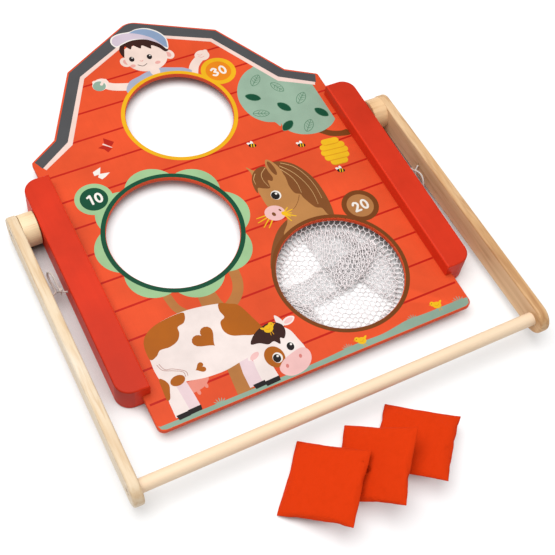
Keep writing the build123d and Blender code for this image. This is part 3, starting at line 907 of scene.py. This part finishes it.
# ---- tie cords ----
CORD_D = 2.2
CORD_ROUTES = {
    "left": [
        (-204.0, 10.5, 19.0), (-214.4, 10.5, 19.0), (-218.9, 14.2, 21.6), (-219.8, 20.6, 25.6),
        (-219.9, 27.0, 29.0), (-221.2, 33.4, 29.8), (-223.2, 38.2, 26.2), (-224.2, 38.6, 20.0),
        (-223.8, 34.0, 15.8), (-222.8, 27.2, 14.8), (-222.4, 20.2, 16.4), (-223.0, 14.2, 20.0),
        (-228.9, 9.9, 22.9),
    ],
    "right": [
        (204.0, 10.5, 19.0), (214.4, 10.5, 19.0), (219.0, 7.6, 22.0), (220.8, 1.8, 26.0),
        (222.4, -5.6, 27.8), (221.8, -12.8, 25.6), (220.8, -17.2, 20.0), (221.0, -16.6, 13.4),
        (221.8, -11.0, 10.0), (222.0, -4.0, 10.8), (222.4, 2.4, 14.6), (224.2, 7.6, 19.4),
        (228.9, 9.9, 22.9),
    ],
}


def nurbs_curve(name, points, radius):
    data = bpy.data.curves.new(name, "CURVE")
    data.dimensions = "3D"
    spline = data.splines.new("NURBS")
    spline.points.add(len(points) - 1)
    for target, point in zip(spline.points, points):
        target.co = (*[c * MM for c in point], 1.0)
    spline.order_u = 3
    spline.use_endpoint_u = True
    data.resolution_u = 8
    data.bevel_depth = radius * MM
    data.bevel_resolution = 3
    data.use_fill_caps = True
    return data


def tube_of(name, points, radius):
    """The mesh of a smooth tube along the points."""
    curve = put_out(name, nurbs_curve(name, points, radius))
    bpy.context.view_layer.update()
    data = bpy.data.meshes.new_from_object(curve.evaluated_get(bpy.context.evaluated_depsgraph_get()))
    bpy.data.objects.remove(curve)
    return data


KNOT_SIZE = 1.15
KNOT_SQUEEZE = 0.62


def overhand_knot(name, centre, heading, tail_side):
    """A tight overhand knot, as a trefoil turned across the cord, with two short tails."""
    turn = Vector((0, 0, 1)).rotation_difference(Vector(heading)).to_matrix()
    loop = []
    for t in (2 * math.pi * i / 24 for i in range(25)):
        spot = (math.sin(t) + 2 * math.sin(2 * t), math.cos(t) - 2 * math.cos(2 * t), -1.2 * math.sin(3 * t))
        loop.append(turn @ (Vector(spot) * KNOT_SIZE * KNOT_SQUEEZE) + centre)
    mesh = bmesh.new()
    mesh.from_mesh(tube_of(name, loop, CORD_D / 2 * 0.92))
    for k, reach in enumerate((7.0, 5.5)):
        start = centre + turn @ Vector((1.2 - 2.4 * k, 0.5, 0))
        way = Vector((tail_side * (0.15 + 0.2 * k), -0.55 + 1.0 * k, -0.75)) * reach
        tail = [start, start + way * 0.35 + Vector((0, 0, 0.4)), start + way * 0.7,
                start + way + Vector((0, 0.5, -0.3))]
        mesh.from_mesh(tube_of(name, tail, CORD_D / 2 * 0.8))
    data = bpy.data.meshes.new(name)
    mesh.to_mesh(data)
    mesh.free()
    data.shade_smooth()
    return put_out(name, data)


def blend_along(cord, path):
    """Draws the cord out straight by the length along it, since it doubles back on itself, bakes its
    transform there, and then gives the cord its own shape again.
    """
    spots = np.array(path)
    reach = np.concatenate(([0.0], np.cumsum(np.linalg.norm(np.diff(spots, axis=0), axis=1))))
    shape = [v.co.copy() for v in cord.data.vertices]
    for vertex in cord.data.vertices:
        nearest = np.argmin(np.linalg.norm(spots - np.array(vertex.co), axis=1))
        vertex.co = (reach[nearest], 0, 0)
    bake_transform(cord)
    for vertex, place in zip(cord.data.vertices, shape):
        vertex.co = place
    cord.data.update()


def tie_cord(side, material):
    route = CORD_ROUTES[side]
    path = [tuple(v.co) for v in tube_of("route", route, 0.0).vertices]
    cord = put_out("tie_cord_" + side + "_soft", tube_of("cord", route, CORD_D / 2))
    cord.data.shade_smooth()
    blend_along(cord, path)
    centre = sum(box_mm("tie_knot_" + side), Vector((0, 0, 0))) / 2
    knot = overhand_knot("tie_knot_" + side + "_soft", centre, Vector(route[2]) - Vector(route[1]),
                         1 if side == "right" else -1)
    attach(knot, "board")
    for piece, node in ((cord, "tie_cord_"), (knot, "tie_knot_")):
        piece.data.materials.append(material)
        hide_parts(node + side)


# ---- bean bags ----
BAG_SPAN = 0.082         # side between the seams, in metres
BAG_HALF_T = 7.9         # half the greatest thickness
BAG_CUT = 0.985          # the flat cloth is this much smaller
BAG_CROWN = 0.0052       # half thickness before it swells, in metres
SEAM_WANDER = 0.0006
BAG_PRESSURE = 0.5
BAG_FRAMES = 20
BAG_CELLS = 44           # squares of the cloth's mesh along each side
SIM_SCALE = 10.0         # the cloth is simulated this much larger
BAG_GAP = 0.5            # kept to the floor and to the bag below
BAGS = {                 # centre, turn about Z, tilt and the side that rises, as the frame's bags lie
    "rear": ((44.9, -294.0, 17.2), -42.4, 15.7, -31.0),
    "middle": ((-9.6, -300.8, 27.8), -39.4, 31.3, 12.0),
    "front": ((-62.5, -295.7, 21.9), -42.5, 24.5, 11.0),
}


def bag_blank(name, seed):
    """Two square sheets joined along their edges, with a slight crown and uneven seams."""
    n = BAG_CELLS
    half = BAG_SPAN / 2 * BAG_CUT
    mesh = bmesh.new()
    uv = mesh.loops.layers.uv.new("UVMap")
    sheets = {}
    offsets = Vector((seed * 3.1, seed * 1.7, 0))
    for side in (1, -1):
        for i, j in itertools.product(range(n + 1), repeat=2):
            edge = i in (0, n) or j in (0, n)
            if edge and side < 0:
                sheets[side, i, j] = sheets[1, i, j]
                continue
            u, v = 2 * i / n - 1, 2 * j / n - 1
            x, y = half * u, half * v
            if edge:
                x += SEAM_WANDER * noise.noise(Vector((u * 4, v * 4, 5)) + offsets)
                y += SEAM_WANDER * noise.noise(Vector((u * 4, v * 4, 9)) + offsets)
            crown = (1 - u ** 4) * (1 - v ** 4)
            uneven = noise.noise(Vector((u, v, 0)) * 2.2 + offsets)
            sheets[side, i, j] = mesh.verts.new((x, y, side * crown * (BAG_CROWN + 0.0008 * uneven)))
        for i, j in itertools.product(range(n), repeat=2):
            corners = [(i, j), (i + 1, j), (i + 1, j + 1), (i, j + 1)][::side]
            face = mesh.faces.new([sheets[side, a, b] for a, b in corners])
            for loop, (a, b) in zip(face.loops, corners):
                loop[uv].uv = (a / n, b / n)
    bmesh.ops.scale(mesh, vec=(SIM_SCALE,) * 3, verts=mesh.verts)
    data = bpy.data.meshes.new(name)
    mesh.to_mesh(data)
    mesh.free()
    return put_out(name, data)


CLOTH = {
    "quality": 6, "mass": 0.25, "tension_stiffness": 60, "compression_stiffness": 60,
    "shear_stiffness": 30, "bending_stiffness": 0.35, "air_damping": 2.0, "use_pressure": True,
    "uniform_pressure_force": BAG_PRESSURE,
}


def inflate(piece):
    """Swells the bag as cloth, and keeps the result as its mesh."""
    cloth = piece.modifiers.new("cloth", "CLOTH")
    for key, value in CLOTH.items():
        setattr(cloth.settings, key, value)
    cloth.settings.effector_weights.gravity = 0
    cloth.collision_settings.use_collision = False
    cloth.point_cache.frame_start = 1
    cloth.point_cache.frame_end = BAG_FRAMES
    scene = bpy.context.scene
    for step in range(1, BAG_FRAMES + 1):
        scene.frame_set(step)
    graph = bpy.context.evaluated_depsgraph_get()
    data = bpy.data.meshes.new_from_object(piece.evaluated_get(graph))
    piece.modifiers.clear()
    piece.data = data
    scene.frame_set(1)


def settle(piece, seed):
    """Back to true size: flattened by its filling's weight, with the lumps of loose beans in it."""
    offset = Vector((seed * 7.3, 2.0, seed))
    half, limit = BAG_SPAN / 2, BAG_HALF_T * MM
    co = np.array([v.co for v in piece.data.vertices]) / SIM_SCALE
    span = [np.ptp(co[:, k]) for k in (0, 1)]
    for vertex, (x, y, z) in zip(piece.data.vertices, co):
        x *= 2 * half / span[0]
        y *= 2 * half / span[1]
        z = limit * math.tanh(z / limit)
        spot = Vector((x, y, z)) / MM
        inside = max(0.0, 1 - max(abs(x), abs(y)) / half)
        lumps = 0.55 * noise.noise(spot / 9.0 + offset) + 0.22 * noise.noise(spot / 3.2 + offset)
        sag = 0.9 * noise.noise(spot / 26.0 + offset * 2)
        z += math.copysign(1, z) * min(1.0, inside * 5) * (lumps + sag) * MM * 0.8
        vertex.co = (x, y, z)


def lay_down(piece, key):
    """Tilts and turns the bag, and moves it to its place."""
    centre, turn, tilt, rise = BAGS[key]
    hinge = math.radians(rise + 90)
    lean = Matrix.Rotation(math.radians(-tilt), 4, Vector((math.cos(hinge), math.sin(hinge), 0)))
    place = Matrix.Translation(Vector(centre) * MM) @ Matrix.Rotation(math.radians(turn), 4, "Z") @ lean
    piece.data.transform(place)


def keep_clear(piece, below):
    """Pushes the bag off the floor and up off the bag below it."""
    gap = BAG_GAP * MM
    tree = None
    if below:
        tree = BVHTree.FromPolygons([v.co for v in below.data.vertices],
                                    [tuple(p.vertices) for p in below.data.polygons])
    for _ in range(4):
        for vertex in piece.data.vertices:
            spot, normal = tree.find_nearest(vertex.co, 0.02)[:2] if tree else (None, None)
            if spot is not None:
                vertex.co += normal * max(0.0, gap - (vertex.co - spot).dot(normal))
            vertex.co.z = max(vertex.co.z, gap)
    piece.data.update()


def bean_bag(key, seed, material, below):
    piece = bag_blank("bag_" + key, seed)
    inflate(piece)
    settle(piece, seed)
    lay_down(piece, key)
    keep_clear(piece, below)
    piece.data.materials.append(material)
    smooth = piece.modifiers.new("smooth", "SUBSURF")
    smooth.levels = 1
    smooth.render_levels = 1
    piece.data.shade_smooth()
    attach(piece, "bag_" + key)
    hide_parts("bean_bag_" + key, "bean_fill_" + key)
    return piece


# ---- materials on the frame's own pieces ----
def dress_frame():
    wear("barn_panel", satin_paint("board_paint", linear(241, 87, 45), 0.46, 0.25))
    rail = satin_paint("rail_paint", linear(224, 56, 28), 0.42, 0.5)
    steel = metal("zinc", (0.62, 0.62, 0.64, 1), 0.28)
    # The right arm and boss get a darker, warmer wood than the left arm and boss.
    for side, arm, boss in (("left", PALE_WOOD, TAN_WOOD), ("right", WARM_WOOD, WARM_WOOD)):
        wear("rail_" + side, rail)
        wear("arm_" + side, bare_wood("arm_wood_" + side, "y", arm))
        wear("boss_" + side, bare_wood("boss_wood_" + side, "x", boss))
    wear("crossbar", bare_wood("dowel_wood", "x", PEACH_WOOD))
    for node in ("rail_screws", "crossbar_screws", "pivot_bolts", "net_staples"):
        wear(node, steel)
    wear("pivot_inserts", metal("brass", (0.72, 0.52, 0.22, 1), 0.25))
    wear("pivot_washers", nylon("washer_nylon"))
    wear("net_hem", tape_cloth("hem_tape"))


# ---- floor, light, camera ----
FLOOR_SIZE = 14
SKY_STRENGTH = 0.52
KEY_LIGHT = {"place": (-0.3, 0.15, 1.7), "size": 1.8, "power": 38}
CAMERA = {"place": (-0.3613, -0.5784, 1.00235), "turn": (32.322, -5.414, -26.798), "lens": 68.85}


def stage():
    """White paper with painted shade and painted light: it is made darker right beside and under the board,
    where it is closed in, and it glows where it is open, so that shadows on it fade.
    """
    n = Nodes("floor_paper")
    open_sky = n.node("ShaderNodeAmbientOcclusion", Distance=0.03).outputs["AO"]
    tone = n.ramp(n.noise(2.0, 2), [(0.0, (0.57, 0.57, 0.57, 1)), (1.0, (0.59, 0.59, 0.59, 1))])
    # painted shade: the paper's colour goes dark where it is closed in
    tone = n.mix(n.grey(open_sky, 1.0, 0.0, (0.08, 0.3)), tone, (0.1, 0.09, 0.09, 1.0))
    # painted light: the paper glows where it is open, which washes out shadows
    paper = n.finish(Base_Color=tone, Roughness=0.9, Specular_IOR_Level=0.1, Emission_Color=(1, 1, 1, 1),
                     Emission_Strength=n.grey(open_sky, 0.0, 0.32, (0.34, 0.62)))
    bpy.ops.mesh.primitive_plane_add(size=FLOOR_SIZE)
    floor = bpy.context.object
    floor.name = "floor"
    floor.data.materials.append(paper)


def lights():
    world = bpy.data.worlds.new("studio")
    world.use_nodes = True
    sky = world.node_tree.nodes["Background"]
    sky.inputs["Color"].default_value = (1.0, 1.0, 1.0, 1.0)
    sky.inputs["Strength"].default_value = SKY_STRENGTH
    bpy.context.scene.world = world
    bpy.context.scene.view_settings.view_transform = "Standard"
    data = bpy.data.lights.new("key", "AREA")
    data.shape = "DISK"
    data.size = KEY_LIGHT["size"]
    data.energy = KEY_LIGHT["power"]
    key = put_out("key", data)
    key.location = KEY_LIGHT["place"]
    key.rotation_euler = (-key.location).to_track_quat("-Z", "Y").to_euler()


def camera():
    """The photograph's viewpoint, for a square art."""
    data = bpy.data.cameras.new("camera")
    data.sensor_width = 36.0
    data.lens = CAMERA["lens"]
    seat = put_out("camera", data)
    seat.location = CAMERA["place"]
    seat.rotation_euler = [math.radians(a) for a in CAMERA["turn"]]
    bpy.context.scene.camera = seat


def main():
    camera()
    lights()
    stage()
    dress_frame()
    print_picture()
    yarn = thread("tie_yarn", linear(238, 226, 216), 900)
    for side in ("left", "right"):
        tie_cord(side, yarn)
    knotted_net(thread("net_yarn", (0.89, 0.83, 0.83, 1.0), 1400))
    cloth = bag_cloth("bag_canvas", linear(238, 62, 4))
    below = None
    for seed, key in enumerate(BAGS, 1):
        below = bean_bag(key, seed, cloth, below)


main()
